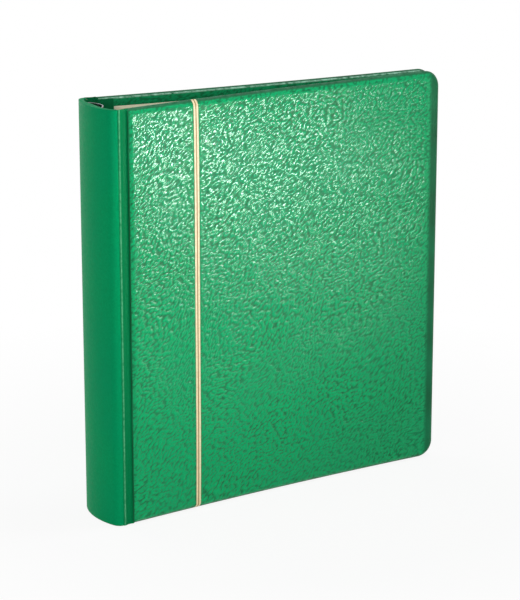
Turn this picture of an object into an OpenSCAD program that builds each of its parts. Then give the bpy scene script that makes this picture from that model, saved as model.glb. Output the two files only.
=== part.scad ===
// Ring album for stamps: padded leatherette covers hinged to a rounded spine,
// a many-ring mechanism on the inside of the spine, and punched album leaves.
// Stands upright on its lower edges. X runs from the spine to the fore-edge,
// Y from the front cover to the back cover, Z upwards, all in millimetres.

/* [Covers] */
// Height of the covers and the spine
cover_h = 317; // [300:1:340]
// Width of a cover, from the hinge crease to the fore-edge
cover_w = 290; // [260:1:320]
// Radius of the two outer corners of a cover
corner_r = 13; // [6:1:20]
// How far each closed cover bows inwards along its width
cover_bow = 3.75; // [1:0.25:4.5]
// Gap between the inner faces of the closed covers at the fore-edge
fore_gap = 2.1; // [2:0.1:4]

/* [Cover layers] */
// Thickness of the leatherette
skin_t = 0.8; // [0.5:0.1:1.2]
// Thickness of the stiff board in a cover
board_t = 2.6; // [2:0.2:3.6]
// Thickness of the foam padding on the board
pad_t = 3.8; // [2.4:0.2:5]
// Thickness of the lining sheets
lining_t = 0.4; // [0.2:0.1:0.5]
// Width of leatherette turned over the edges onto the inside
turn_in = 12; // [8:1:20]
// Radius of the soft edge of the padding
roll_r = 12; // [9:0.5:15]
// Distance over which the padding falls away to the edge
roll_run = 9; // [6:0.5:9]
// Width of the flat hinge strip beside the crease
joint_w = 7.3; // [5:0.1:10]
// Thickness of the hinge strip
joint_t = 1.5; // [1:0.1:2]

/* [Gold lines] */
// Distance from the crease to the middle of the pair of lines
gold_x = 65; // [30:1:120]
// Width of one line
gold_w = 1.6; // [1:0.1:3]
// Distance between the two lines
gold_gap = 0.9; // [0.5:0.1:2]
// Thickness of the foil
gold_t = 0.15; // [0.1:0.05:0.3]

/* [Spine] */
// Depth of the album over the two creases
spine_depth = 55; // [52:1:62]
// How far the rounded back stands out behind the creases
spine_bulge = 12; // [11:0.5:16]
// Radius of the back of the spine
spine_r = 62; // [50:1:90]
// Radius of the two long corners of the spine
spine_corner_r = 7; // [6:0.5:9]
// Thickness of the spine board
spine_board_t = 3; // [2.4:0.2:3.4]
// Thickness of the spine board under the mechanism, where it is flat
seat_t = 4.5; // [4.4:0.1:5.5]

/* [Ring mechanism] */
// Number of rings
ring_count = 18; // [6:1:19]
// Radius of a ring to the middle of its wire
ring_r = 15; // [13:0.5:15]
// Diameter of the ring wire
wire_d = 2.4; // [2:0.1:2.6]
// Height of the lowest ring above the lower edge
ring_first = 24.5; // [24:0.5:30]
// Distance from the highest ring to the upper edge
ring_last = 20.5; // [18:0.5:30]
// Distance from the middle of the housing to the leg of a ring
leg_y = 7.5; // [7:0.1:7.8]
// Width of the arched housing
housing_w = 24; // [23.5:0.25:25]
// Height of the arched housing
housing_h = 6; // [5.8:0.1:7]
// Thickness of the housing's sheet metal
housing_t = 0.8; // [0.6:0.1:1]
// Thickness of the two toggle plates inside the housing
blade_t = 1; // [0.8:0.1:1.2]
// Diameter of the shank of a rivet
rivet_d = 3.2; // [2.6:0.1:3.6]
// Diameter of the pin that the release lever turns on
pin_d = 2.1; // [1.6:0.1:2.4]
// Length of the release lever, from its pin to its tip
lever_l = 11; // [9:0.5:13]

/* [Leaves] */
// Thickness of an album leaf
leaf_t = 0.25; // [0.15:0.05:0.3]
// Height of the lower edge of the leaves
leaf_low = 5.5; // [3:0.5:12]
// Distance from the upper edge of the leaves to the top of the covers
leaf_top_gap = 4.5; // [3:0.5:12]
// Distance from the fore-edge of the covers to the leaves
leaf_fore_gap = 18; // [16:1:40]
// Diameter of the punched holes
hole_d = 7.5; // [7.4:0.1:8.5]
// Distance from the punched edge to the middle of a hole
hole_margin = 12; // [6.5:0.5:12.5]

/* [Hidden] */

glue = 0.02;        // film of glue under a lining or the foil
slip = 0.05;        // running clearance of the pin and the rivets
air = 0.3;          // clearance between soft or thin neighbours
far = 1;            // how far a cutter reaches past what it cuts
arc_dip = 0.05;     // how far the arc of a soft edge or a corner would pass the faces it meets
rim_drop = 1.9;     // distance from a cover's edge to where its rim is measured
roll_steps = 6;     // flats in the soft edge along the fore-edge
large_fn = 720;     // facets of the large bow and wire circles
round_fn = 64;      // facets of the small circles

// The whole album is centred over its own box
mid_x = (cover_w - spine_bulge) / 2;

// Layers of a cover, counted outwards from its inner face
board_low = skin_t;
pad_low = board_low + board_t;
cover_t = pad_low + pad_t + skin_t;

// Thickness of the cover just inside its outer edges, where the hinge strip joins it
rim_t = cover_t - roll_r + sqrt(pow(roll_r, 2) - pow(roll_run - rim_drop, 2));

// The inner face of a cover is an arc from the crease to the fore-edge
inner_y = spine_depth / 2 - rim_t;
chord_rise = inner_y - fore_gap / 2;
chord_l = sqrt(pow(cover_w, 2) + pow(chord_rise, 2));
chord_a = atan(chord_rise / cover_w);
bow_r = pow(chord_l, 2) / (8 * cover_bow) + cover_bow / 2;
bow_half_a = asin(chord_l / 2 / bow_r);
bow_x = cover_w / 2 + (bow_r - cover_bow) * sin(chord_a);
bow_y = -(inner_y + fore_gap / 2) / 2 - (bow_r - cover_bow) * cos(chord_a);

cover_run = bow_r * 2 * bow_half_a * PI / 180;

// Polar angle, seen from the middle of the bow, at a distance from the crease
function bow_at(run) = 90 + chord_a + bow_half_a - run / bow_r * 180 / PI;

// The spine's outline: a large arc with a rounded corner on each side
corner_y = spine_depth / 2 - spine_corner_r;
corner_x = spine_r - spine_bulge - sqrt(pow(spine_r - spine_corner_r, 2) - pow(corner_y, 2));
seat_x = -spine_bulge + skin_t + seat_t;

// The ring mechanism, from the seat outwards
base_x = seat_x + glue + lining_t;
crown_x = base_x + housing_h;
arch_r = (pow(housing_w / 2, 2) + pow(housing_h, 2)) / (2 * housing_h);
arch_x = crown_x - arch_r;
blade_x = base_x + housing_t;
blade_top_x = blade_x + blade_t;
blade_y = sqrt(pow(arch_r - housing_t, 2) - pow(blade_top_x - arch_x, 2)) - air / 2;
bend_x = arch_x + sqrt(pow(arch_r, 2) - pow(leg_y, 2)) + housing_t;
ring_a = 180 - asin(leg_y / ring_r);
ring_x = bend_x - ring_r * cos(ring_a);
ring_pitch = (cover_h - ring_first - ring_last) / (ring_count - 1);
ring_z = [for (i = [0:ring_count - 1]) ring_first + i * ring_pitch];
leg_hole_d = wire_d + 1.4;    // room for a leg to swing as the rings open
tip_gap = 0.1;      // half the play where the two sides meet

// Ends of the housing, its rivets and its lever
housing_low = ring_first - 11.5;
housing_high = cover_h - 0.5;
lever_z = housing_low + 4.5;
lever_x = base_x + housing_h / 2 + 0.2;
mouth_w = 13.2;
mouth_high = lever_z + 3;
blade_low = lever_z + 3.7;
blade_high = housing_high - 2;
rivet_z = [ring_z[0] + ring_pitch / 2,
           ring_z[floor((ring_count - 1) / 2)] + ring_pitch / 2,
           cover_h - ring_last + 8.5];
rivet_head_d = 2 * rivet_d;
rivet_head_h = 1;
rivet_grip = 2.4;
hub_d = pin_d + 2.3;
lever_w = mouth_w - 0.8;
lever_t = 1.2;
lever_tilt = 56;
nose_l = 3;
nose_t = 1;
pin_half = sqrt(pow(arch_r, 2) - pow(lever_x - arch_x, 2)) + 0.5;

// The leaves fan out on the rings and come together towards the fore-edge
fan_first = -24;
fan_step = 9.2;
lean_first = -3.2;
lean_step = -0.95;
leaf_gap = 0.05;
pair_gap = 0.3;
flat_run = 6;
curve_pull = 80;
curve_steps = 16;
leaf_end_x = cover_w - leaf_fore_gap;

// Bezier point at share t between p0 and p3
function bezier(p0, p1, p2, p3, t) =
    pow(1 - t, 3) * p0 + 3 * pow(1 - t, 2) * t * p1 + 3 * (1 - t) * t * t * p2 + pow(t, 3) * p3;

function lean(i) = lean_first + i * lean_step;
function along(i) = [cos(lean(i)), sin(lean(i))];
function across(i) = [-sin(lean(i)), cos(lean(i))];
function hole_at(i) = [ring_x, 0] + ring_r * [cos(fan_first + i * fan_step), sin(fan_first + i * fan_step)];
function end_y(i) = (i - 2.5) * (leaf_t + leaf_gap) + (floor(i / 2) - 1) * (pair_gap - leaf_gap);

// One side of a leaf, shifted by half its thickness
function leaf_side(i, shift) =
    let (start = hole_at(i) + flat_run * along(i) + shift * across(i),
         edge = hole_at(i) - hole_margin * along(i) + shift * across(i),
         stop = [leaf_end_x, end_y(i) + shift])
    concat([edge],
           [for (k = [0:curve_steps])
               bezier(start, start + curve_pull * along(i), stop - [curve_pull, 0], stop, k / curve_steps)]);

function backwards(list) = [for (k = [len(list) - 1:-1:0]) list[k]];

// Puts a piece into the album's frame, over the middle of its box
module place() {
    translate([-mid_x, 0, 0]) children();
}

// Turns a piece of one side into its partner on the other side
module mirrored() {
    mirror([0, 1, 0]) children();
}

// ---- Covers ----

// What a soft edge leaves off a square corner, with the edge along Y
module roll_cutter(inset) {
    difference() {
        translate([-far, -far]) square([roll_r + far, roll_run + far]);
        translate([roll_r - arc_dip, roll_run]) circle(r = roll_r - inset, $fn = 2 * round_fn);
    }
}

// Upright section of a cover, from its outer face inwards, between two layers
module cover_section(inset, low, high) {
    difference() {
        translate([cover_t - high, inset]) square([high - low, cover_h - 2 * inset]);
        roll_cutter(inset);
        translate([0, cover_h]) mirror([0, 1]) roll_cutter(inset);
    }
}

// Sweeps a section along the bow of a front cover
module bowed(run_from, run_to) {
    translate([bow_x, bow_y, 0])
        rotate([0, 0, bow_at(run_to)])
            rotate_extrude(angle = bow_at(run_from) - bow_at(run_to), $fn = large_fn)
                translate([bow_r - cover_t, 0]) children();
}

// The same cutter with its arc as a row of flats, for the fore-edge
module flat_roll_cutter(inset) {
    radius = roll_r - inset;
    crest_a = acos((roll_r - arc_dip) / radius);
    rim_a = acos(-roll_run / radius) - 90;
    polygon(concat([[roll_r, -far], [-far, -far], [-far, roll_run]],
                   [for (k = [0:roll_steps])
                       let (a = 180 + rim_a * k / roll_steps)
                       [roll_r - arc_dip + radius * cos(a), roll_run + radius * sin(a)]]));
}

// Stands a cutter at the outer corner of the fore-edge: X inwards, Y towards the spine
module at_fore_edge() {
    translate([bow_x, bow_y, 0])
        rotate([0, 0, bow_at(cover_run)])
            translate([bow_r - cover_t, 0, 0]) children();
}

// What a rounded corner of the cover's outline leaves off a square one
module corner_cutter(inset) {
    radius = max(1, corner_r - inset);
    translate([-far, 0, 0]) rotate([90, 0, 90]) linear_extrude(height = cover_t + 2 * far)
        difference() {
            translate([-far, -far]) square(inset + radius + far);
            translate([inset + radius - arc_dip, inset + radius - arc_dip])
                circle(r = radius, $fn = 2 * round_fn);
        }
}

// A cover's body between two layers, all its sides moved in by the inset
module cover_body(inset, low, high) {
    difference() {
        difference() {
            bowed(joint_w + inset, cover_run - inset) cover_section(inset, low, high);
            at_fore_edge() {
                corner_cutter(inset);
                translate([0, 0, cover_h]) mirror([0, 0, 1]) corner_cutter(inset);
            }
        }
        at_fore_edge() translate([0, 0, -far])
            linear_extrude(height = cover_h + 2 * far) flat_roll_cutter(inset);
    }
}

// The opening inside the turned-in leatherette, at the depth of a layer
module turn_window(low, high, margin) {
    bowed(joint_w + margin, cover_run - margin)
        translate([cover_t - high, margin]) square([high - low, cover_h - 2 * margin]);
}

module cover_board() {
    color("tan") cover_body(skin_t, board_low, pad_low);
}

module cover_padding() {
    color("lightgray") cover_body(skin_t, pad_low, cover_t - skin_t);
}

module cover_skin() {
    color([0.02, 0.52, 0.33]) difference() {
        cover_body(0, 0, cover_t);
        cover_body(skin_t, board_low, cover_t - skin_t);
        turn_window(-far, board_low + board_t / 2, turn_in);
    }
}

module cover_lining() {
    color([0.05, 0.36, 0.2]) turn_window(board_low - glue - lining_t, board_low - glue, turn_in + air);
}

// Folded leatherette between the crease and the cover, on the cover's outer layer
module hinge_strip() {
    color([0.01, 0.42, 0.27])
        bowed(slip, joint_w)
            translate([cover_t - rim_t, 0]) square([joint_t, cover_h]);
}

// Upright section of the foil, which follows the soft edges up to the cover's height
module foil_section() {
    difference() {
        intersection() {
            cover_section(-gold_t, 0, cover_t + gold_t);
            translate([-far, 0]) square([cover_t + 2 * far, cover_h]);
        }
        cover_section(-glue, -far, cover_t + glue);
    }
}

module gold_lines() {
    color([0.86, 0.8, 0.56])
        for (side = [-1, 1]) {
            middle = gold_x + side * (gold_gap + gold_w) / 2;
            bowed(middle - gold_w / 2, middle + gold_w / 2) foil_section();
        }
}

// ---- Spine ----

// Plan outline of the spine, moved in by the inset and open towards the covers
module spine_outline(inset) {
    half = spine_depth / 2 - inset;
    tangent_y = corner_y * (spine_r - inset) / (spine_r - spine_corner_r);
    intersection() {
        translate([spine_r - spine_bulge, 0]) circle(r = spine_r - inset, $fn = large_fn);
        translate([-spine_bulge, -tangent_y]) square([spine_bulge, 2 * tangent_y]);
    }
    for (side = [-1, 1])
        intersection() {
            translate([corner_x, side * corner_y])
                circle(r = spine_corner_r - inset, $fn = 2 * round_fn);
            translate([-spine_bulge, -half]) square([spine_bulge, 2 * half]);
        }
    translate([corner_x, -half]) square([-corner_x, 2 * half]);
}

// The hollow inside the spine board, with the flat seat of the mechanism
module spine_hollow(inset) {
    wall = skin_t + spine_board_t + inset;
    half = spine_depth / 2 - wall;
    intersection() {
        union() {
            spine_outline(wall);
            translate([-far, -half]) square([2 * far, 2 * half]);
        }
        translate([seat_x + inset, -half]) square([spine_bulge, 2 * half]);
    }
}

module spine_board() {
    color("tan") difference() {
        translate([0, 0, skin_t]) linear_extrude(height = cover_h - 2 * skin_t) difference() {
            spine_outline(skin_t);
            spine_hollow(0);
        }
        rivet_bores(rivet_d / 2 + slip);
    }
}

module spine_skin() {
    color([0.01, 0.5, 0.34]) difference() {
        linear_extrude(height = cover_h) spine_outline(0);
        translate([0, 0, skin_t]) linear_extrude(height = cover_h - 2 * skin_t) spine_outline(skin_t);
        translate([0, 0, -far]) linear_extrude(height = cover_h + 2 * far) spine_hollow(0);
    }
}

module spine_lining() {
    color([0.05, 0.36, 0.2]) difference() {
        translate([0, 0, skin_t]) linear_extrude(height = cover_h - 2 * skin_t) intersection() {
            difference() {
                spine_hollow(glue);
                spine_hollow(glue + lining_t);
            }
            translate([-spine_bulge, -spine_depth / 2]) square([spine_bulge, spine_depth]);
        }
        rivet_bores(rivet_d / 2 + slip);
    }
}

// ---- Ring mechanism ----

// Bores for the rivets, from the housing's crown down into the spine board
module rivet_bores(radius) {
    for (z = rivet_z)
        translate([seat_x - rivet_grip, 0, z]) rotate([0, 90, 0])
            cylinder(r = radius, h = housing_h + rivet_grip + 2 * far, $fn = round_fn);
}

module housing_arch(wall) {
    intersection() {
        translate([arch_x, 0]) circle(r = arch_r - wall, $fn = large_fn);
        translate([base_x - far * (wall > 0 ? 1 : 0), -housing_w / 2])
            square([housing_h + 2 * far, housing_w]);
    }
}

module mechanism_housing() {
    color([0.72, 0.73, 0.74]) difference() {
        translate([0, 0, housing_low]) linear_extrude(height = housing_high - housing_low)
            difference() {
                housing_arch(0);
                housing_arch(housing_t);
            }
        rivet_bores(rivet_d / 2 + slip);
        for (z = ring_z, side = [-1, 1])
            translate([blade_top_x, side * leg_y, z]) rotate([0, 90, 0])
                cylinder(d = leg_hole_d, h = housing_h, $fn = round_fn);
        translate([lever_x - hub_d, -mouth_w / 2, housing_low - far])
            cube([housing_h + hub_d, mouth_w, mouth_high - housing_low + far]);
        lever_bore(pin_d / 2 + slip, pin_half + far);
    }
}

module housing_rivets() {
    color([0.8, 0.8, 0.8])
        for (z = rivet_z) {
            translate([seat_x - rivet_grip, 0, z]) rotate([0, 90, 0])
                cylinder(d = rivet_d, h = crown_x - seat_x + rivet_grip, $fn = round_fn);
            translate([crown_x, 0, z]) rotate([0, 90, 0]) rotate_extrude($fn = round_fn)
                intersection() {
                    translate([0, rivet_head_h - rivet_head_d])
                        circle(r = rivet_head_d, $fn = 4 * round_fn);
                    square([rivet_head_d / 2, rivet_head_h]);
                }
        }
}

// The back one of the two plates that snap over and carry the half rings
module toggle_plate() {
    color([0.62, 0.63, 0.65]) difference() {
        translate([blade_x, tip_gap, blade_low])
            cube([blade_t, blade_y - tip_gap, blade_high - blade_low]);
        rivet_bores(rivet_d / 2 + 1);
    }
}

// The half rings of the back: an arc, a bend and a leg that stands on the plate
module half_rings() {
    tip_a = asin(tip_gap / ring_r);
    color([0.85, 0.85, 0.86])
        for (z = ring_z) {
            translate([ring_x, 0, z]) rotate([0, 0, tip_a])
                rotate_extrude(angle = ring_a - tip_a, $fn = 3 * round_fn)
                    translate([ring_r, 0]) circle(d = wire_d, $fn = round_fn);
            translate([bend_x, leg_y, z]) sphere(d = wire_d, $fn = round_fn);
            translate([blade_top_x, leg_y, z]) rotate([0, 90, 0])
                cylinder(d = wire_d, h = bend_x - blade_top_x, $fn = round_fn);
        }
}

// A cylinder on the lever's axis
module lever_bore(radius, half) {
    translate([lever_x, half, lever_z]) rotate([90, 0, 0])
        cylinder(r = radius, h = 2 * half, $fn = round_fn);
}

module release_lever() {
    color([0.75, 0.76, 0.78]) translate([lever_x, 0, lever_z]) rotate([0, lever_tilt, 0])
        rotate([90, 0, 0]) {
            linear_extrude(height = lever_w, center = true) difference() {
                union() {
                    circle(d = hub_d, $fn = round_fn);
                    translate([0, -lever_t / 2]) square([lever_l, lever_t]);
                    translate([lever_l, 0]) circle(d = 1.6 * lever_t, $fn = round_fn);
                }
                circle(r = pin_d / 2 + slip, $fn = round_fn);
            }
            linear_extrude(height = lever_w / 2, center = true)
                translate([-nose_l, -nose_t / 2]) square([nose_l - (hub_d + pin_d) / 4, nose_t]);
        }
}

module lever_pin() {
    color([0.55, 0.56, 0.58]) lever_bore(pin_d / 2, pin_half);
}

// ---- Leaves ----

module leaf(i) {
    color([0.93, 0.9, 0.78]) difference() {
        translate([0, 0, leaf_low]) linear_extrude(height = cover_h - leaf_low - leaf_top_gap)
            polygon(concat(leaf_side(i, -leaf_t / 2), backwards(leaf_side(i, leaf_t / 2))));
        for (z = ring_z)
            translate([hole_at(i).x, hole_at(i).y, z]) rotate([0, 0, lean(i)]) rotate([90, 0, 0])
                cylinder(d = hole_d, h = 2 * far, center = true, $fn = round_fn);
    }
}

place() spine_board();
place() spine_skin();
place() spine_lining();
place() mechanism_housing();
place() housing_rivets();
place() mirrored() toggle_plate();  // toggle_plate_front
place() toggle_plate();  // toggle_plate_back
place() mirrored() half_rings();  // half_rings_front
place() half_rings();  // half_rings_back
place() release_lever();
place() lever_pin();
place() leaf(0);  // leaf_1
place() leaf(1);  // leaf_2
place() leaf(2);  // leaf_3
place() leaf(3);  // leaf_4
place() leaf(4);  // leaf_5
place() leaf(5);  // leaf_6
place() cover_board();  // front_board
place() cover_padding();  // front_padding
place() cover_skin();  // front_skin
place() cover_lining();  // front_lining
place() hinge_strip();  // front_hinge_strip
place() gold_lines();
place() mirrored() cover_board();  // back_board
place() mirrored() cover_padding();  // back_padding
place() mirrored() cover_skin();  // back_skin
place() mirrored() cover_lining();  // back_lining
place() mirrored() hinge_strip();  // back_hinge_strip
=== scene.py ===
import math

import bpy
import numpy as np
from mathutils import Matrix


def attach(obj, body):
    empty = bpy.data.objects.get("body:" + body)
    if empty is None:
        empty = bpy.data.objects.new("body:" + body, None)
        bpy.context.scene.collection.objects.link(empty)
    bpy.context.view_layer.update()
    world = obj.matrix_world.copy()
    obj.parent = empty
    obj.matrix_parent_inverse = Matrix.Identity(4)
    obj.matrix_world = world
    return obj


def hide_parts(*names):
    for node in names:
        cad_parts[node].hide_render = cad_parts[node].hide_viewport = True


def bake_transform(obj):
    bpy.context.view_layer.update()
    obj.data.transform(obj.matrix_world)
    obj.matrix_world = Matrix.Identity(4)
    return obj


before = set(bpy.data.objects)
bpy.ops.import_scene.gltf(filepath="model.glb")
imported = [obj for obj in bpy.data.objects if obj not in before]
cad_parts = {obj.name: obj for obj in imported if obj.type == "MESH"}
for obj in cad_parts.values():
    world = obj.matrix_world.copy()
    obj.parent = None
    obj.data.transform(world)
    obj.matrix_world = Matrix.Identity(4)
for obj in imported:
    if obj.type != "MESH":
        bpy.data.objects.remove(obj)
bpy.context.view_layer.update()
scene = bpy.context.scene
mm = 0.001
tiny = 1e-6                 # places closer than this are the same place
print("frame loaded")

# sizes in millimetres, with x counted from the crease between spine and covers
cover = {
    "height": 317.0,
    "width": 290.0,
    "cornerRadius": 13.0,
    "bow": 3.75,            # how far the closed cover bows inwards
    "foreGap": 2.1,         # between the closed covers at the fore-edge
    "jointWidth": 7.3,      # flat strip between crease and padded panel
    "rim": 5.674,           # thickness just inside the edges
    "lip": 4.4,             # thickness at the very edge
    "panel": 7.75,          # thickness where the soft edge ends
    "crown": 1.05,          # how much the middle swells above that
    "crownReach": 40.0,     # distance from an edge over which it swells
    "crownAtJoint": 12.0,   # the swelling starts this far in beside the joint
    "jointDrop": 1.5,       # how far the panel drops beside the joint
    "jointEdge": 0.9,       # how soft that edge is, and how square
    "jointEdgePower": 1.6,
    "overhang": 1.0,        # how far the panel bulges over the joint
    "overhangReach": 4.0,
    "overhangRings": 4,     # the bulge fades over this many rings of the edge
    "rollRadius": 6.0,      # roundness and width of the soft outer edge
    "rollRun": 4.6,
    "gridStep": 0.85,
    "fineBand": 4.0,        # the mesh is finer in this band beside the joint
    "grainHeight": 0.1,
    "smoothAngle": 60,      # degrees, faces that meet more sharply keep their edge
}
spine = {
    "depth": 55.0,
    "bulge": 12.0,
    "radius": 62.0,
    "cornerRadius": 7.0,
    "wall": 3.8,            # leatherette and board together
    "seatX": -6.7,          # flat floor under the ring mechanism
    "seatStep": 0.4,
    "rimRound": 1.1,
    "rimSegments": 3,
    "rimAngle": 50,         # degrees, only sharper edges are rounded
    "outerSteps": 22,       # points on each arc of the outer and the inner outline
    "innerSteps": 12,
    "rows": 60,
    "smoothAngle": 50,
}
midX = (cover["width"] - spine["bulge"]) / 2

# the inner face of a cover is an arc from the crease to the fore-edge
innerY = spine["depth"] / 2 - cover["rim"]
chordRise = innerY - cover["foreGap"] / 2
chordLength = math.hypot(cover["width"], chordRise)
chordAngle = math.atan2(chordRise, cover["width"])
bowRadius = chordLength ** 2 / (8 * cover["bow"]) + cover["bow"] / 2
bowHalfAngle = math.asin(chordLength / 2 / bowRadius)
bowX = cover["width"] / 2 + (bowRadius - cover["bow"]) * math.sin(chordAngle)
bowY = -(innerY + cover["foreGap"] / 2) / 2 - (bowRadius - cover["bow"]) * math.cos(chordAngle)
coverRun = bowRadius * 2 * bowHalfAngle


def onCover(run, height, depth, side):
    # run from the crease, depth outwards from the inner face, side -1 front and 1 back
    angle = math.pi / 2 + chordAngle + bowHalfAngle - np.asarray(run) / bowRadius
    radius = bowRadius - np.asarray(depth)
    x = bowX + radius * np.cos(angle) - midX
    y = -side * (bowY + radius * np.sin(angle))
    return np.stack([x, y, np.asarray(height) + 0 * x], axis=-1) * mm


def deselectAll():
    if bpy.context.object and bpy.context.object.mode != "OBJECT":
        bpy.ops.object.mode_set(mode="OBJECT")
    bpy.ops.object.select_all(action="DESELECT")


def makeActive(piece):
    deselectAll()
    piece.select_set(True)
    bpy.context.view_layer.objects.active = piece


def readPoints(piece):
    points = np.zeros(len(piece.data.vertices) * 3)
    piece.data.vertices.foreach_get("co", points)
    return points.reshape(-1, 3)


def writePoints(piece, points):
    piece.data.vertices.foreach_set("co", np.ascontiguousarray(points, dtype=np.float32).ravel())
    piece.data.update()


def writeMark(piece, word, values):
    # a number on each point, which a finish reads
    mark = piece.data.attributes.new(word, "FLOAT", "POINT")
    mark.data.foreach_set("value", values.astype(np.float32))


def selectEdges(piece, test):
    # selects the edges that pass the test of where their two ends are
    points = readPoints(piece)
    ends = np.zeros(len(piece.data.edges) * 2, dtype=np.int32)
    piece.data.edges.foreach_get("vertices", ends)
    for others in (piece.data.vertices, piece.data.polygons):
        others.foreach_set("select", np.zeros(len(others), dtype=bool))
    piece.data.edges.foreach_set("select", test(points[ends[0::2]], points[ends[1::2]]))


def faceOutwards(piece):
    makeActive(piece)
    bpy.ops.object.mode_set(mode="EDIT")
    bpy.ops.mesh.select_all(action="SELECT")
    bpy.ops.mesh.normals_make_consistent(inside=False)
    bpy.ops.object.mode_set(mode="OBJECT")


def applyAll(piece):
    makeActive(piece)
    for modifier in list(piece.modifiers):
        bpy.ops.object.modifier_apply(modifier=modifier.name)


def smoothShade(piece, angle):
    makeActive(piece)
    bpy.ops.object.shade_smooth_by_angle(angle=math.radians(angle))


def settle(piece, name):
    # leaves the object at the origin with its place in its mesh
    makeActive(piece)
    bpy.ops.object.transform_apply(location=True, rotation=True, scale=True)
    piece.name = name
    piece.data.name = name


# nodes shared by the grain in the mesh and the grain in the finish
grain = {
    "turn": 34,             # degrees the pebbles lean from level
    "along": 3.4,           # size of a pebble along its lean, across it and into the panel
    "across": 1.5,
    "deep": 9.0,
    "drift": 24.0,          # how far the rows wander, and over what distance
    "driftSize": 75.0,
    "fray": 0.5,            # how far the outlines fray, and over what distance, in pebbles
    "fraySize": 0.7,
    "melt": 0.3,            # how far neighbours melt together
    "fallFrom": 0.1,        # a pebble's dome falls between these distances from its middle, in pebbles
    "fallTo": 0.64,
    "fallPower": 2.0,
    "creaseSize": 0.78,     # in pebbles
    "creaseBand": (0.34, 0.56),
    "pebbleShare": 0.78,    # the rest of the relief is long creases
}


def calculate(tree, operation, *values, kind="ShaderNodeMath"):
    # each value is a number or the socket it comes from
    node = tree.nodes.new(kind)
    node.operation = operation
    for socket, value in zip(node.inputs, values):
        if isinstance(value, bpy.types.NodeSocket):
            tree.links.new(value, socket)
        else:
            socket.default_value = value
    return node.outputs[0]


def calculateVector(tree, operation, *values):
    return calculate(tree, operation, *values, kind="ShaderNodeVectorMath")


def noise(tree, vector, size, detail=3, roughness=0.5, output="Fac"):
    node = tree.nodes.new("ShaderNodeTexNoise")
    node.inputs["Scale"].default_value = 1 / (size * mm)
    node.inputs["Detail"].default_value = detail
    node.inputs["Roughness"].default_value = roughness
    tree.links.new(vector, node.inputs["Vector"])
    return node.outputs[output]


noiseBand = (0.3, 0.7)      # most of a noise lies between these


def spread(tree, value, low, high, toLow=0.0, toHigh=1.0):
    node = tree.nodes.new("ShaderNodeMapRange")
    for key, number in (("From Min", low), ("From Max", high), ("To Min", toLow), ("To Max", toHigh)):
        node.inputs[key].default_value = number
    tree.links.new(value, node.inputs["Value"])
    return node.outputs["Result"]


def flatPebbles(tree, place):
    # distance from the middle of the nearest pebble, on the panel's own plane
    apart = tree.nodes.new("ShaderNodeSeparateXYZ")
    flat = tree.nodes.new("ShaderNodeCombineXYZ")
    tree.links.new(place, apart.inputs[0])
    tree.links.new(apart.outputs["X"], flat.inputs["X"])
    tree.links.new(apart.outputs["Z"], flat.inputs["Y"])
    cells = tree.nodes.new("ShaderNodeTexVoronoi")
    cells.voronoi_dimensions = "2D"
    cells.feature = "SMOOTH_F1"
    cells.inputs["Scale"].default_value = 1
    cells.inputs["Smoothness"].default_value = grain["melt"]
    tree.links.new(flat.outputs[0], cells.inputs["Vector"])
    return cells.outputs["Distance"]


def pebbles(tree, vector):
    # height of the pressed grain between 0 and 1
    wander = noise(tree, vector, grain["driftSize"], 1, output="Color")
    drifted = calculateVector(tree, "MULTIPLY_ADD", wander, (grain["drift"] * mm,) * 3, vector)
    turned = tree.nodes.new("ShaderNodeVectorRotate")
    turned.rotation_type = "Y_AXIS"
    turned.inputs["Angle"].default_value = math.radians(grain["turn"])
    tree.links.new(drifted, turned.inputs["Vector"])
    perPebble = [1 / (grain[key] * mm) for key in ("along", "deep", "across")]
    sized = calculateVector(tree, "MULTIPLY", turned.outputs[0], perPebble)
    fray = noise(tree, sized, grain["fraySize"] / mm, 1, output="Color")
    frayed = calculateVector(tree, "MULTIPLY_ADD", fray, (grain["fray"],) * 3, sized)
    fallen = spread(tree, flatPebbles(tree, frayed), grain["fallFrom"], grain["fallTo"])
    domes = calculate(tree, "SUBTRACT", 1.0, calculate(tree, "POWER", fallen, grain["fallPower"]))
    creases = spread(tree, noise(tree, sized, grain["creaseSize"] / mm, 1.5), *grain["creaseBand"])
    return calculate(tree, "MULTIPLY_ADD", domes, grain["pebbleShare"],
                     calculate(tree, "MULTIPLY", creases, 1 - grain["pebbleShare"]))


def grainModifier(piece, height):
    # pushes the points out along their normals, by the share of the grain marked on each
    tree = bpy.data.node_groups.new("pebbled relief", "GeometryNodeTree")
    tree.interface.new_socket("Geometry", in_out="INPUT", socket_type="NodeSocketGeometry")
    tree.interface.new_socket("Geometry", in_out="OUTPUT", socket_type="NodeSocketGeometry")
    nodes, links = tree.nodes, tree.links
    start = nodes.new("NodeGroupInput")
    end = nodes.new("NodeGroupOutput")
    place = nodes.new("GeometryNodeInputPosition")
    normal = nodes.new("GeometryNodeInputNormal")
    share = nodes.new("GeometryNodeInputNamedAttribute")
    share.data_type = "FLOAT"
    share.inputs["Name"].default_value = "grainShare"
    amount = calculate(tree, "MULTIPLY", pebbles(tree, place.outputs[0]), share.outputs["Attribute"])
    push = nodes.new("ShaderNodeVectorMath")
    push.operation = "SCALE"
    links.new(normal.outputs[0], push.inputs[0])
    links.new(calculate(tree, "MULTIPLY", amount, height * mm), push.inputs["Scale"])
    move = nodes.new("GeometryNodeSetPosition")
    links.new(start.outputs[0], move.inputs["Geometry"])
    links.new(push.outputs[0], move.inputs["Offset"])
    links.new(move.outputs[0], end.inputs[0])
    modifier = piece.modifiers.new("pebbled relief", "NODES")
    modifier.node_group = tree


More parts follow.
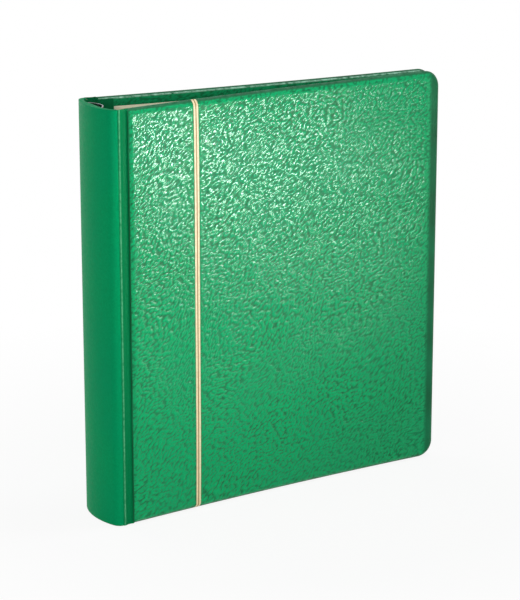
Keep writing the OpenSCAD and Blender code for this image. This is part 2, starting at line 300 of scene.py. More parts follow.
# finishes: colours are written 0 to 255, and sizes and heights in millimetres
def newFinish(name):
    finish = bpy.data.materials.new(name)
    finish.use_nodes = True
    tree = finish.node_tree
    shader = tree.nodes["Principled BSDF"]
    place = tree.nodes.new("ShaderNodeTexCoord")
    return finish, tree, shader, place.outputs["Object"]


def linear(value):
    value = value / 255
    return value / 12.92 if value <= 0.04045 else ((value + 0.055) / 1.055) ** 2.4


def blendColours(tree, share, first, second):
    # sockets 6 and 7 of the node take the two colours, and socket 2 gives the blend
    node = tree.nodes.new("ShaderNodeMix")
    node.data_type = "RGBA"
    for socket, colour in ((node.inputs[6], first), (node.inputs[7], second)):
        if isinstance(colour, bpy.types.NodeSocket):
            tree.links.new(colour, socket)
        else:
            socket.default_value = tuple(linear(c) for c in colour) + (1,)
    tree.links.new(share, node.inputs[0])
    return node.outputs[2]


def bump(tree, height, distance, under=None):
    node = tree.nodes.new("ShaderNodeBump")
    node.inputs["Strength"].default_value = 1.0
    node.inputs["Distance"].default_value = distance * mm
    tree.links.new(height, node.inputs["Height"])
    if under is not None:
        tree.links.new(under, node.inputs["Normal"])
    return node.outputs["Normal"]


def marked(tree, word):
    # the number that writeMark left on the piece
    node = tree.nodes.new("ShaderNodeAttribute")
    node.attribute_name = word
    return node.outputs["Fac"]


def withClouds(tree, place, look, ground, colour):
    # large soft clouds of another colour over the ground
    clouds = noise(tree, place, look["cloudSize"], 2)
    share = spread(tree, clouds, *look["cloudBand"], 0.0, look["cloudShare"])
    return blendColours(tree, share, ground, colour)


leatheretteLook = {
    # crest and hollow are partly the grain's own two tones, partly painted shade: the hollows are darker
    # where shade falls in the grain
    "crest": (0, 174, 105),
    "hollow": (0, 98, 57),
    "stretchedAndShaded": (0, 84, 48),   # smooth leatherette over the edges, darkened as painted shade on the rolled edges
    "stretchedAndShadedBand": (0.2, 0.6),  # share of the grain at which it shows
    "cloud": (0, 150, 96),
    "cloudShare": 0.35,
    "cloudSize": 45,
    "cloudBand": (0.35, 0.7),
    # a pale colour on the edges: partly wear, partly a painted highlight along the rims over the boards'
    # edges
    "wearAndHighlight": (170, 228, 200),
    "wearAndHighlightSize": 4,
    "wearAndHighlightBand": (0.35, 0.65),
    "hollowRoughness": 0.5,     # crests are polished, hollows stay dull
    "crestRoughness": 0.125,
    "polishBand": (0.45, 0.7),
    "smudge": (-0.02, 0.04),    # what smudges take from and add to the roughness
    "smudgeSize": 1.3,
    "shine": 0.17,
    "pebbleHeight": 0.13,
    "poreHeight": 0.03,
    "poreSize": 0.6,
}


def leatherette():
    look = leatheretteLook
    finish, tree, shader, place = newFinish("padded leatherette")
    share = marked(tree, "grainShare")
    dome = pebbles(tree, place)
    relief = calculate(tree, "MULTIPLY", dome, share)
    pebbled = blendColours(tree, dome, look["hollow"], look["crest"])
    ground = blendColours(tree, spread(tree, share, *look["stretchedAndShadedBand"]), look["stretchedAndShaded"], pebbled)
    clouded = withClouds(tree, place, look, ground, look["cloud"])
    # lightens the marked edges in patches: partly wear, partly a painted highlight
    patches = spread(tree, noise(tree, place, look["wearAndHighlightSize"], 3), *look["wearAndHighlightBand"])
    lightening = calculate(tree, "MULTIPLY", marked(tree, "wearAndHighlight"), patches)
    tree.links.new(blendColours(tree, lightening, clouded, look["wearAndHighlight"]), shader.inputs["Base Color"])
    polished = spread(tree, relief, *look["polishBand"], look["hollowRoughness"], look["crestRoughness"])
    smudge = spread(tree, noise(tree, place, look["smudgeSize"], 2), *noiseBand, *look["smudge"])
    tree.links.new(calculate(tree, "ADD", polished, smudge), shader.inputs["Roughness"])
    pores = bump(tree, noise(tree, place, look["poreSize"], 3), look["poreHeight"])
    tree.links.new(bump(tree, relief, look["pebbleHeight"], under=pores), shader.inputs["Normal"])
    shader.inputs["Specular IOR Level"].default_value = look["shine"]
    return finish


smoothLook = {
    "mottleSize": 1.5,
    "mottleHeight": 0.06,
    "cloudShare": 0.4,
    "cloudSize": 45,
    "cloudBand": (0.35, 0.7),
    # a pale colour on the joint's fold: partly wear, partly a painted highlight along the crease
    "wearAndHighlight": (120, 206, 160),
    "wearAndHighlightSize": 3,
    "wearAndHighlightBand": (0.3, 0.6),
    "wearAndHighlightLeast": 0.3,
    "roughness": (0.42, 0.56),
    "patchSize": 2.2,
    "shine": 0.03,
    "poreHeight": 0.02,
    "poreSize": 0.6,
}


def smoothLeatherette(name, dark, light, cloudy):
    look = smoothLook
    finish, tree, shader, place = newFinish(name)
    mottle = noise(tree, place, look["mottleSize"], 3, 0.6)
    ground = blendColours(tree, spread(tree, mottle, *noiseBand), dark, light)
    clouded = withClouds(tree, place, look, ground, cloudy)
    # lightens the marked fold in patches: partly wear, partly a painted highlight
    patches = spread(tree, noise(tree, place, look["wearAndHighlightSize"], 3), *look["wearAndHighlightBand"], look["wearAndHighlightLeast"])
    lightening = calculate(tree, "MULTIPLY", marked(tree, "wearAndHighlight"), patches)
    tree.links.new(blendColours(tree, lightening, clouded, look["wearAndHighlight"]), shader.inputs["Base Color"])
    dull = spread(tree, noise(tree, place, look["patchSize"], 2), *noiseBand, *look["roughness"])
    tree.links.new(dull, shader.inputs["Roughness"])
    pores = bump(tree, noise(tree, place, look["poreSize"], 3), look["poreHeight"])
    tree.links.new(bump(tree, mottle, look["mottleHeight"], under=pores), shader.inputs["Normal"])
    shader.inputs["Specular IOR Level"].default_value = look["shine"]
    return finish


foilLook = {
    "dull": (222, 206, 158),
    "bright": (240, 228, 190),
    "seam": (160, 116, 62),     # darker colour on the middle strip, which lies lower between the two lines
    "wearSize": 1.6,
    "wearHeight": 0.05,
    "roughness": (0.4, 0.55),
    "shine": 0.3,
}


def foil():
    look = foilLook
    finish, tree, shader, place = newFinish("gold foil")
    lightening = noise(tree, place, look["wearSize"], 4, 0.6)
    lines = blendColours(tree, spread(tree, lightening, *noiseBand), look["dull"], look["bright"])
    seamed = blendColours(tree, marked(tree, "seam"), lines, look["seam"])
    tree.links.new(seamed, shader.inputs["Base Color"])
    shader.inputs["Specular IOR Level"].default_value = look["shine"]
    tree.links.new(spread(tree, lightening, *noiseBand, *look["roughness"]), shader.inputs["Roughness"])
    tree.links.new(bump(tree, lightening, look["wearHeight"]), shader.inputs["Normal"])
    return finish


cardLook = {
    "dark": (252, 246, 218),
    "light": (255, 252, 234),
    "cloud": (248, 238, 204),
    "cloudShare": 0.3,
    "cloudSize": 30,
    "cloudBand": (0.4, 0.7),
    "fibreSize": 0.9,
    "fibreHeight": 0.03,
    "roughness": 0.85,
    "shine": 0.1,
}


def card():
    look = cardLook
    finish, tree, shader, place = newFinish("album leaf card")
    fibre = noise(tree, place, look["fibreSize"], 5, 0.7)
    ground = blendColours(tree, spread(tree, fibre, *noiseBand), look["dark"], look["light"])
    clouded = withClouds(tree, place, look, ground, look["cloud"])
    tree.links.new(clouded, shader.inputs["Base Color"])
    shader.inputs["Roughness"].default_value = look["roughness"]
    shader.inputs["Specular IOR Level"].default_value = look["shine"]
    tree.links.new(bump(tree, fibre, look["fibreHeight"]), shader.inputs["Normal"])
    return finish


metalLook = {
    "smearSize": 30,
    "smearBand": (0.35, 0.7),
    "scratchSize": 0.4,
    "scratchHeight": 0.01,
}


def metal(name, dark, light, roughness):
    look = metalLook
    finish, tree, shader, place = newFinish(name)
    shader.inputs["Metallic"].default_value = 1.0
    smear = noise(tree, place, look["smearSize"], 3)
    scratch = noise(tree, place, look["scratchSize"], 4, 0.65)
    smeared = blendColours(tree, spread(tree, smear, *look["smearBand"]), dark, light)
    tree.links.new(smeared, shader.inputs["Base Color"])
    tree.links.new(spread(tree, scratch, *noiseBand, *roughness), shader.inputs["Roughness"])
    tree.links.new(bump(tree, scratch, look["scratchHeight"]), shader.inputs["Normal"])
    return finish


paperLook = {
    "fibreSize": 1.2,
    "fibreHeight": 0.08,
    "shine": 0.1,
}


def paper(name, dark, light, roughness):
    look = paperLook
    finish, tree, shader, place = newFinish(name)
    fibre = noise(tree, place, look["fibreSize"], 4, 0.65)
    ground = blendColours(tree, spread(tree, fibre, *noiseBand), dark, light)
    tree.links.new(ground, shader.inputs["Base Color"])
    shader.inputs["Roughness"].default_value = roughness
    shader.inputs["Specular IOR Level"].default_value = look["shine"]
    tree.links.new(bump(tree, fibre, look["fibreHeight"]), shader.inputs["Normal"])
    return finish


coverLeather = leatherette()
spineLeather = smoothLeatherette("spine leatherette", (0, 138, 84), (0, 150, 92), (0, 138, 92))
# the joint's leatherette is a darker copy of the spine's, as painted shade in the groove between fold and
# panel
shadedJointLeather = smoothLeatherette("joint leatherette", (0, 114, 64), (0, 124, 71), (0, 116, 70))
goldFoil = foil()
leafCard = card()
nickel = metal("nickel plate", (122, 124, 128), (158, 160, 164), (0.2, 0.34))
plateSteel = metal("plate steel", (104, 106, 110), (134, 136, 140), (0.3, 0.45))
liningPaper = paper("lining paper", (4, 112, 66), (8, 128, 76), 0.75)
boardGrey = paper("grey board", (150, 140, 122), (176, 166, 146), 0.9)
foamPale = paper("foam", (208, 206, 198), (226, 224, 216), 0.95)
print("finishes ready")

for finish, nodeNames in (
    (boardGrey, ["spine_board", "front_board", "back_board"]),
    (liningPaper, ["spine_lining", "front_lining", "back_lining"]),
    (nickel, ["mechanism_housing", "housing_rivets", "half_rings_front", "half_rings_back", "release_lever"]),
    (plateSteel, ["toggle_plate_front", "toggle_plate_back", "lever_pin"]),
    (leafCard, ["leaf_" + str(number) for number in range(1, 7)]),
    (foamPale, ["front_padding", "back_padding"]),
    (coverLeather, ["front_skin", "back_skin"]),
    (spineLeather, ["spine_skin"]),
    (shadedJointLeather, ["front_hinge_strip", "back_hinge_strip"]),
    (goldFoil, ["gold_lines"]),
):
    for nodeName in nodeNames:
        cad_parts[nodeName].data.materials.clear()
        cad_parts[nodeName].data.materials.append(finish)


# padded covers
goldLines = {
    "middle": 65.0,
    "lineWidth": 1.6,
    "between": 0.9,
    "pressed": 0.12,        # depth the hot foil pressed into the panel
    "pressFade": 1.2,       # width over which the panel comes up again beside them
    "foil": 0.12,
    "proud": 0.02,
    "seamLap": 0.04,        # the seam runs this far under the lines, and lies this much lower
    "seamLower": 0.08,
    "rows": 420,
    "smoothAngle": 40,
}
coverRings = [  # inset from the outline, depth from the inner face, share of the grain and of the wear and painted highlight
    (0.0, 4.0, 0.08, 0), (0.1, 3.6, 0.08, 0), (0.3, 3.15, 0.08, 0),     # down the padding
    (0.52, 2.7, 0.08, 0), (0.62, 2.1, 0.08, 0),
    (0.64, 1.3, 0.08, 1), (0.72, 0.7, 0.08, 1), (1.05, 0.22, 0.08, 1),  # over the board's edge, lightened as wear and a painted highlight line
    (1.8, 0.0, 0.5, 0), (7.0, 0.0, 0.5, 0), (11.6, 0.0, 0.5, 0),        # onto the inside
    (12.0, 0.22, 0.08, 0), (12.0, 0.8, 0.08, 0),                        # and under the lining
]
coverMarks = {
    "smoothBand": 1.0,      # no grain this close to an edge, and full grain this much further in
    "grainFade": 1.8,
    "foreStretch": 5,       # at the fore-edge the grain comes back this many times more slowly
    "grainLeast": 0.12,
    "jointBand": 0.5,       # both the smooth band and the fade beside the joint
    "wearAndHighlightWidth": 1.5,        # the panel's edge is lightened a little, as wear and a painted highlight,
    "panelWearAndHighlight": 0.15,
    "topBand": 2,           # and the top more than the sides, along the painted highlight line
    "sideWearAndHighlight": 0.35,
}


def softEdge(distance):
    # how far the soft edge drops below the panel at a distance from the cover's edge
    inside = np.clip(cover["rollRun"] - distance, 0, cover["rollRun"])
    drop = cover["rollRadius"] - np.sqrt(cover["rollRadius"] ** 2 - inside ** 2)
    full = cover["rollRadius"] - math.sqrt(cover["rollRadius"] ** 2 - cover["rollRun"] ** 2)
    return drop * (cover["panel"] - cover["lip"]) / full


def panelThickness(run, height):
    # from the distance to the three outer edges, with their two rounded corners, and to the joint
    radius = cover["cornerRadius"]
    toFore = coverRun - run
    toSide = np.minimum(height, cover["height"] - height)
    rounded = radius - np.hypot(np.maximum(radius - toFore, 0), np.maximum(radius - toSide, 0))
    toEdge = np.where((toFore < radius) & (toSide < radius), rounded, np.minimum(toFore, toSide))
    toEdge = np.maximum(toEdge, 0)
    toJoint = np.maximum(run - cover["jointWidth"], 0)
    rising = np.minimum(toEdge, toJoint + cover["crownAtJoint"])
    swell = cover["crown"] * (1 - np.exp(-rising / cover["crownReach"]))
    jointDrop = cover["jointDrop"] * np.exp(-(toJoint / cover["jointEdge"]) ** cover["jointEdgePower"])
    drop = (softEdge(toEdge) ** 3 + jointDrop ** 3) ** (1 / 3)  # the deeper one, smoothed where they meet
    return cover["panel"] + swell - drop


def roundCorners(run, height):
    # squeezes the square corner fields of the flat grid into quarter discs
    end, high, radius = coverRun, cover["height"], cover["cornerRadius"]
    for low in (True, False):
        a = (run - (end - radius)) / radius
        b = (radius - height) / radius if low else (height - (high - radius)) / radius
        near = (a > 0) & (b > 0)
        a, b = np.where(near, a, 0), np.where(near, b, 0)
        roundA = a * np.sqrt(1 - b * b / 2)
        roundB = b * np.sqrt(1 - a * a / 2)
        run = np.where(near, end - radius + roundA * radius, run)
        rounded = (radius - roundB * radius) if low else (high - radius + roundB * radius)
        height = np.where(near, rounded, height)
    return run, height


def outlinePoint(along, up, inset):
    # a point of the cover's outline, from its place on the unit square's border, moved inwards
    start, end, high, radius = cover["jointWidth"], coverRun, cover["height"], cover["cornerRadius"]
    run, height = roundCorners(start + along * (end - start), up * high)
    corner = (run > end - radius) & ((height < radius) | (height > high - radius))
    centreRun, centreHeight = end - radius, np.where(height < high / 2, radius, high - radius)
    away = np.hypot(run - centreRun, height - centreHeight)
    away = np.where(away < tiny, 1, away)
    arcRun = centreRun + (run - centreRun) / away * (radius - inset)
    arcHeight = centreHeight + (height - centreHeight) / away * (radius - inset)
    flatRun = start + inset + (run - start) * (end - radius - start - inset) / (end - radius - start)
    flatRun = np.where(along > 1 - tiny, end - inset, flatRun)
    flatHeight = np.where(up < tiny, inset, np.where(up > 1 - tiny, high - inset, height))
    flatHeight = np.where(along < tiny, inset + up * (high - 2 * inset), flatHeight)
    return np.where(corner, arcRun, flatRun), np.where(corner, arcHeight, flatHeight)


def makeBlank(name):
    # a unit grid whose border is drawn down ring by ring, and closed on the inside
    columns = int((coverRun - cover["jointWidth"]) / cover["gridStep"] / 2) * 2
    rows = int(cover["height"] / cover["gridStep"] / 2) * 2
    deselectAll()
    bpy.ops.mesh.primitive_grid_add(x_subdivisions=columns, y_subdivisions=rows, size=1,
                                    location=(0.5, 0.5, 0))
    blank = bpy.context.object
    settle(blank, name)
    bpy.ops.object.mode_set(mode="EDIT")
    bpy.ops.mesh.select_mode(type="EDGE")
    bpy.ops.mesh.select_all(action="DESELECT")
    bpy.ops.mesh.select_non_manifold(extend=False)
    for ring in coverRings:
        bpy.ops.mesh.extrude_edges_move(TRANSFORM_OT_translate={"value": (0, 0, -1)})
    bpy.ops.object.mode_set(mode="OBJECT")

    def onChain(place):
        # the last ring's lower and upper side, short of the corners
        halfStep = 0.5 / columns
        inner = (place[:, 0] > halfStep) & (place[:, 0] < 1 - halfStep)
        level = np.minimum(abs(place[:, 1]), abs(place[:, 1] - 1)) < tiny
        return inner & level & (place[:, 2] < 0.5 - len(coverRings))

    selectEdges(blank, lambda first, second: onChain(first) & onChain(second))
    bpy.ops.object.mode_set(mode="EDIT")
    bpy.ops.mesh.bridge_edge_loops()
    bpy.ops.mesh.select_all(action="SELECT")
    bpy.ops.mesh.fill_holes(sides=0)
    bpy.ops.object.mode_set(mode="OBJECT")
    return blank


def panelMarks(run, height, pressed):
    # grain stands out on the outer face and fades where the leatherette is stretched over the edges
    marks = coverMarks
    toFore = coverRun - run
    toEdge = np.minimum(np.minimum(height, cover["height"] - height), toFore)
    slowly = (toFore - marks["smoothBand"]) / marks["foreStretch"]
    fromSmooth = np.minimum(toEdge, slowly) - marks["smoothBand"]
    share = np.clip(fromSmooth / marks["grainFade"], marks["grainLeast"], 1)
    fromJoint = run + cover["overhang"] - cover["jointWidth"] - marks["jointBand"]
    share = share * np.clip(fromJoint / marks["jointBand"], 0, 1) * (1 - pressed)
    # the edges are lightened a little: partly wear, partly a painted highlight
    wearAndHighlight = np.clip(1 - toEdge / marks["wearAndHighlightWidth"], 0, 1) * marks["panelWearAndHighlight"]
    return share, wearAndHighlight


def makeCover(name, side):
    piece = makeBlank(name)
    points = readPoints(piece)
    along, up = np.clip(points[:, 0], 0, 1), np.clip(points[:, 1], 0, 1)
    ring = np.rint(-points[:, 2]).astype(int)
    start = cover["jointWidth"]
    run = start + along * (coverRun - start)
    run = np.where(run - start < cover["fineBand"], start + (run - start) ** 2 / cover["fineBand"], run)
    run, height = roundCorners(run, up * cover["height"])
    depth = panelThickness(run, height)
    run = run - cover["overhang"] * np.exp(-(run - start) / cover["overhangReach"])
    halfWidth = goldLines["between"] / 2 + goldLines["lineWidth"]
    fromLines = np.abs(run - goldLines["middle"]) - halfWidth
    pressed = np.clip(1 - fromLines / goldLines["pressFade"], 0, 1) if side < 0 else 0 * run
    depth = depth - pressed * goldLines["pressed"]
    share, wearAndHighlight = panelMarks(run, height, pressed)
    for number, (inset, ringDepth, ringShare, ringWearAndHighlight) in enumerate(coverRings, start=1):
        here = ring == number
        ringRun, ringHeight = outlinePoint(along[here], up[here], inset)
        bulge = (along[here] < tiny) * cover["overhang"] * max(0, 1 - number / cover["overhangRings"])
        run[here], height[here], depth[here] = ringRun - bulge, ringHeight, ringDepth
        share[here], wearAndHighlight[here] = ringShare, ringWearAndHighlight
    # the painted highlight and the wear are strongest along the top
    nearTop = height > cover["height"] - coverMarks["topBand"]
    writePoints(piece, onCover(run, height, depth, side))
    writeMark(piece, "grainShare", share)
    writeMark(piece, "wearAndHighlight", wearAndHighlight * np.where(nearTop, 1.0, coverMarks["sideWearAndHighlight"]))
    faceOutwards(piece)
    grainModifier(piece, cover["grainHeight"])
    applyAll(piece)
    piece.data.materials.append(coverLeather)
    smoothShade(piece, cover["smoothAngle"])
    return piece


for name, side, word in (("frontCoverPad", -1, "front"), ("backCoverPad", 1, "back")):
    pad = makeCover(name, side)
    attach(pad, word + "_cover")
    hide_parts(word + "_skin", word + "_padding")
    print(name, "ready,", len(pad.data.polygons), "faces")


# gold lines
def makeLine(offset, width, seam):
    # seam is 1 for the seam and 0 for a line
    deselectAll()
    bpy.ops.mesh.primitive_grid_add(x_subdivisions=2, y_subdivisions=goldLines["rows"], size=1,
                                    location=(0, 0.5, 0))
    line = bpy.context.object
    settle(line, "goldLine")
    points = readPoints(line)
    run = goldLines["middle"] + offset + points[:, 0] * width
    height = cover["height"] * points[:, 1]
    lift = goldLines["foil"] - goldLines["pressed"] + goldLines["proud"] - goldLines["seamLower"] * seam
    writePoints(line, onCover(run, height, panelThickness(run, height) + lift, -1))
    writeMark(line, "seam", np.full(len(points), seam))
    faceOutwards(line)
    thicken = line.modifiers.new("foil", "SOLIDIFY")
    thicken.thickness = goldLines["foil"] * mm
    thicken.offset = 0
    applyAll(line)
    return line


def makeLines():
    # two bright lines and the darker, lower strip between them
    apart = (goldLines["between"] + goldLines["lineWidth"]) / 2
    lines = [makeLine(-apart, goldLines["lineWidth"], 0), makeLine(apart, goldLines["lineWidth"], 0),
             makeLine(0, goldLines["between"] + goldLines["seamLap"], 1)]
    deselectAll()
    for line in lines:
        line.select_set(True)
    bpy.context.view_layer.objects.active = lines[0]
    bpy.ops.object.join()
    foilPiece = bpy.context.object
    settle(foilPiece, "goldFoilLines")
    foilPiece.data.materials.append(goldFoil)
    smoothShade(foilPiece, goldLines["smoothAngle"])
    return foilPiece


foilLines = makeLines()
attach(foilLines, "front_cover")
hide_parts("gold_lines")
print("gold lines ready")


# spine
def solidFromSection(name, section, low, high, cuts):
    # a ring of points on the ground, filled, drawn upwards and cut into rows
    deselectAll()
    bpy.ops.mesh.primitive_circle_add(vertices=len(section), radius=0.03, fill_type="NGON",
                                      location=(0, 0, 0))
    piece = bpy.context.object
    settle(piece, name)
    writePoints(piece, np.array([[(x - midX) * mm, y * mm, low * mm] for x, y in section]))
    bpy.ops.object.mode_set(mode="EDIT")
    bpy.ops.mesh.select_mode(type="FACE")
    bpy.ops.mesh.select_all(action="SELECT")
    bpy.ops.mesh.extrude_region_move(TRANSFORM_OT_translate={"value": (0, 0, (high - low) * mm)})
    bpy.ops.object.mode_set(mode="OBJECT")
    selectEdges(piece, lambda first, second: abs(first[:, 2] - second[:, 2]) > 0.1 * mm)
    bpy.ops.object.mode_set(mode="EDIT")
    bpy.ops.mesh.select_mode(type="EDGE")
    bpy.ops.mesh.subdivide(number_cuts=cuts)
    bpy.ops.object.mode_set(mode="OBJECT")
    faceOutwards(piece)
    return piece


def roundRims(piece):
    soften = piece.modifiers.new("rounded rims", "BEVEL")
    soften.width = spine["rimRound"] * mm
    soften.segments = spine["rimSegments"]
    soften.limit_method = "ANGLE"
    soften.angle_limit = math.radians(spine["rimAngle"])
    applyAll(piece)


def arcPoints(centre, radius, start, end, count):
    angles = np.linspace(math.radians(start), math.radians(end), count)
    return [(centre[0] + radius * math.cos(a), centre[1] + radius * math.sin(a)) for a in angles]


cornerY = spine["depth"] / 2 - spine["cornerRadius"]
backCentre = (spine["radius"] - spine["bulge"], 0)
cornerX = backCentre[0] - math.sqrt((spine["radius"] - spine["cornerRadius"]) ** 2 - cornerY ** 2)
meetAngle = math.degrees(math.atan2(cornerY, cornerX - backCentre[0]))


def spineSide(inset, count):
    # half of the outline, from the crease side of the front to the middle of the back
    front = arcPoints((cornerX, -cornerY), spine["cornerRadius"] - inset, -90, -meetAngle, count)
    back = arcPoints(backCentre, spine["radius"] - inset, -meetAngle, -180, count)
    return front + back[1:]


def withMirror(half):
    return half + [(x, -y) for x, y in reversed(half[:-1])]


def makeSpine():
    inner = [point for point in spineSide(spine["wall"], spine["innerSteps"]) if point[0] > spine["seatX"]]
    inner = inner + [(spine["seatX"], inner[-1][1] + spine["seatStep"]), (spine["seatX"], 0)]
    section = withMirror(spineSide(0, spine["outerSteps"])) + list(reversed(withMirror(inner)))
    piece = solidFromSection("spineCase", section, 0, cover["height"], spine["rows"])
    roundRims(piece)
    piece.data.materials.append(spineLeather)
    smoothShade(piece, spine["smoothAngle"])
    return piece


spineCase = makeSpine()
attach(spineCase, "spine")
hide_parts("spine_skin")
print("spine ready")


# hinges
hinge = {
    "leather": 0.8,
    "tucked": 0.7,          # how far the strip runs under the panel's edge
    "ridge": 0.3,           # the fold stands this proud at the crease
    "ridgeAt": 0.1,
    "ridgeWidth": 0.75,
    "groove": 0.55,         # the strip sinks this far between fold and panel
    "grooveAt": 4.3,
    "grooveWidth": 2.2,
    "foldWearAndHighlight": 0.5,             # how much the fold is lightened, as wear and a painted highlight along the crease, and how wide
    "wearAndHighlightWidth": 0.6,
    "columns": 30,
    "rows": 60,
    "bendFrom": -0.9,       # the strip bends between these distances from the crease
    "bendTo": 1.4,
    "bendHeight": 150.0,    # where those distances are taken, above the ground
    "smoothAngle": 50,
}
liner = {
    "thickness": 0.35,
    "endGap": 1.0,          # short of the case's ends
    "rows": 40,
    # x, and how far outwards of the spine wall's inner face
    "spinePoints": [(-2.5, -0.45), (-1.0, -0.45), (0.0, -0.3), (0.35, 0.2), (0.5, 1.2), (1.0, 1.9)],
    "jointPoints": [2.0, 3.5, 5.0, 6.2],    # x, close behind the strip
    # run, and depth outwards of the cover's inner face
    "coverPoints": [(6.75, 3.2), (6.95, 2.0), (7.0, 0.6), (7.15, 0.0), (7.6, -0.25), (9, -0.25), (12, -0.25),
                    (15, -0.25), (19.0, -0.25)],
    "bendFrom": -0.5,
    "bendTo": 6.0,
}


def rimDrop(x):
    # how far the cover's rim lies behind the spine's side at x
    point = onCover([x], [0], [cover["rim"]], -1)[0] / mm
    return spine["depth"] / 2 + point[1]


def hingeOutline():
    # outer face of the strip, from the spine's side to under the panel's edge
    path = []
    for x in np.linspace(cornerX, cover["jointWidth"] + hinge["tucked"], hinge["columns"]):
        rise = hinge["ridge"] * math.exp(-((x - hinge["ridgeAt"]) / hinge["ridgeWidth"]) ** 2)
        sink = hinge["groove"] * math.exp(-((x - hinge["grooveAt"]) / hinge["grooveWidth"]) ** 4)
        drop = 0 if x < 0 else rimDrop(x)
        path.append((x, -(spine["depth"] / 2 + rise - sink - drop)))
    return path


def makeHinge(name, side):
    outer = hingeOutline()
    inner = [(x, y + hinge["leather"]) for x, y in outer]
    section = [(x, -side * y) for x, y in outer + list(reversed(inner))]
    piece = solidFromSection(name, section, 0, cover["height"], hinge["rows"])
    x = readPoints(piece)[:, 0] / mm + midX
    # lightens the fold at the crease: partly wear, partly a painted highlight
    writeMark(piece, "wearAndHighlight", np.exp(-((x - hinge["ridgeAt"]) / hinge["wearAndHighlightWidth"]) ** 2) * hinge["foldWearAndHighlight"])
    piece.data.materials.append(shadedJointLeather)
    smoothShade(piece, hinge["smoothAngle"])
    return piece


def ribbon(path, thickness):
    points = np.array(path, float)
    along = np.gradient(points, axis=0)
    along /= np.linalg.norm(along, axis=1)[:, None]
    sideways = np.stack([-along[:, 1], along[:, 0]], axis=1) * thickness / 2
    return [tuple(p) for p in points + sideways] + [tuple(p) for p in (points - sideways)[::-1]]


def makeLiner(name, side):
    # lining that follows the joint on the inside: spine board, joint, board edge, cover
    wall = spine["depth"] / 2 - spine["wall"]
    path = [(x, -(wall + outwards)) for x, outwards in liner["spinePoints"]]
    behindStrip = cover["rim"] - hinge["groove"] - hinge["leather"] - liner["thickness"]
    for x in liner["jointPoints"]:
        path.append((x, onCover([x], [0], [behindStrip], -1)[0][1] / mm))
    for run, depth in liner["coverPoints"]:
        x, y, z = onCover([run], [0], [depth], -1)[0] / mm
        path.append((x + midX, y))
    section = [(x, -side * y) for x, y in ribbon(path, liner["thickness"])]
    low, high = liner["endGap"], cover["height"] - liner["endGap"]
    piece = solidFromSection(name, section, low, high, liner["rows"])
    piece.data.materials.append(liningPaper)
    smoothShade(piece, hinge["smoothAngle"])
    return piece


for side, word in ((-1, "front"), (1, "back")):
    strip = makeHinge(word + "HingeLeather", side)
    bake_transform(strip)
    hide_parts(word + "_hinge_strip")
    lining = makeLiner(word + "HingeLiner", side)
    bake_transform(lining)
print("hinges ready")


# camera, light and floor, in metres and degrees
camera = {
    "place": (-0.8981, -1.5514, 0.6494),
    "turn": -29.883,
    "tilt": 15.573,
    "lens": 144.74,         # millimetres, as is the sensor
    "sensor": 36,
    "farthest": 20,
}


def makeCamera():
    deselectAll()
    bpy.ops.object.camera_add(location=camera["place"],
                              rotation=(math.radians(90 - camera["tilt"]), 0, math.radians(camera["turn"])))
    seen = bpy.context.object
    seen.data.lens = camera["lens"]
    seen.data.sensor_width = camera["sensor"]
    seen.data.clip_end = camera["farthest"]
    scene.camera = seen


lamps = [  # name, place, aim, size, watts, width of the beam
    ("key", (0.54, -0.77, 0.09), (-0.19, 0, 0.33), 0.14, 0.4, 44),
    ("front", (-1.1, -1.5, 0.4), (0, 0, 0.1), 1.2, 9.5, 180),
    ("overhead", (0.35, -0.15, 1.6), (0, 0, 0.3), 0.25, 4.4, 180),
    ("behind", (-0.5, 1.6, 0.6), (0, 0, 0.16), 1.2, 9, 180),
]
room = {
    "level": 0.64,          # light from level with the album, and from overhead
    "overhead": 0.4,
    "ceiling": 0.9,         # sine of the angle at which overhead starts
    "floorNear": 0.2,       # the floor turns from near white to white between these distances
    "floorFar": 0.5,
    "floorWhite": 0.9,
    "floorGrey": 0.9,
    "floorRoughness": 0.9,
    "floorSize": 12,
    "floorDrop": 0.0005,
}


def seenDirectly(tree):
    # 1 for what the eye, a shiny face or clear material sees, 0 for light that spreads
    path = tree.nodes.new("ShaderNodeLightPath")
    seen = calculate(tree, "MAXIMUM", path.outputs["Is Camera Ray"], path.outputs["Is Glossy Ray"])
    return calculate(tree, "MAXIMUM", seen, path.outputs["Is Transmission Ray"])


def blendShaders(tree, share, first, second, end):
    node = tree.nodes.new("ShaderNodeMixShader")
    tree.links.new(share, node.inputs[0])
    tree.links.new(first.outputs[0], node.inputs[1])
    tree.links.new(second.outputs[0], node.inputs[2])
    tree.links.new(node.outputs[0], tree.nodes[end].inputs[0])


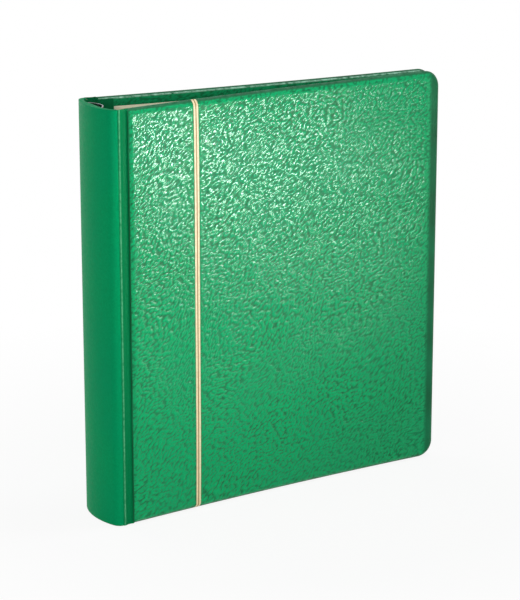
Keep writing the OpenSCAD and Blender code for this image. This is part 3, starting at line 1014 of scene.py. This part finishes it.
def makeLamps():
    for name, place, aim, size, watts, beam in lamps:
        deselectAll()
        bpy.ops.object.light_add(type="AREA", location=place)
        lamp = bpy.context.object
        lamp.name = name
        lamp.data.size = size
        lamp.data.energy = watts
        lamp.data.spread = math.radians(beam)
        direction = np.array(aim) - np.array(place)
        yaw = math.atan2(direction[0], -direction[1])
        pitch = math.atan2(math.hypot(direction[0], direction[1]), -direction[2])
        lamp.rotation_euler = (pitch, 0, yaw + math.pi)


def makeRoom():
    world = bpy.data.worlds.new("white room")
    scene.world = world
    world.use_nodes = True
    tree = world.node_tree
    spreading = tree.nodes["Background"]
    direct = tree.nodes.new("ShaderNodeBackground")
    for light in (spreading, direct):
        light.inputs["Color"].default_value = (1, 1, 1, 1)
        light.inputs["Strength"].default_value = 1
    place = tree.nodes.new("ShaderNodeTexCoord")
    apart = tree.nodes.new("ShaderNodeSeparateXYZ")
    tree.links.new(place.outputs["Generated"], apart.inputs[0])
    fading = spread(tree, apart.outputs["Z"], 0.0, room["ceiling"], room["level"], room["overhead"])
    tree.links.new(fading, spreading.inputs["Strength"])
    blendShaders(tree, seenDirectly(tree), spreading, direct, "World Output")


def makeFloor():
    deselectAll()
    bpy.ops.mesh.primitive_plane_add(size=room["floorSize"], location=(0, 0, -room["floorDrop"]))
    floor = bpy.context.object
    floor.name = "floor"
    finish, tree, shader, place = newFinish("pale floor")
    shader.inputs["Base Color"].default_value = (room["floorGrey"],) * 3 + (1,)
    shader.inputs["Roughness"].default_value = room["floorRoughness"]
    shader.inputs["Specular IOR Level"].default_value = 0
    distance = tree.nodes.new("ShaderNodeVectorMath")
    distance.operation = "LENGTH"
    tree.links.new(place, distance.inputs[0])
    whiter = spread(tree, distance.outputs["Value"], room["floorNear"], room["floorFar"], room["floorWhite"])
    white = tree.nodes.new("ShaderNodeEmission")
    share = calculate(tree, "MULTIPLY", whiter, seenDirectly(tree))
    blendShaders(tree, share, shader, white, "Material Output")
    floor.data.materials.append(finish)


makeCamera()
makeLamps()
makeRoom()
makeFloor()
scene.view_settings.view_transform = "Standard"
print("camera, light and floor ready")
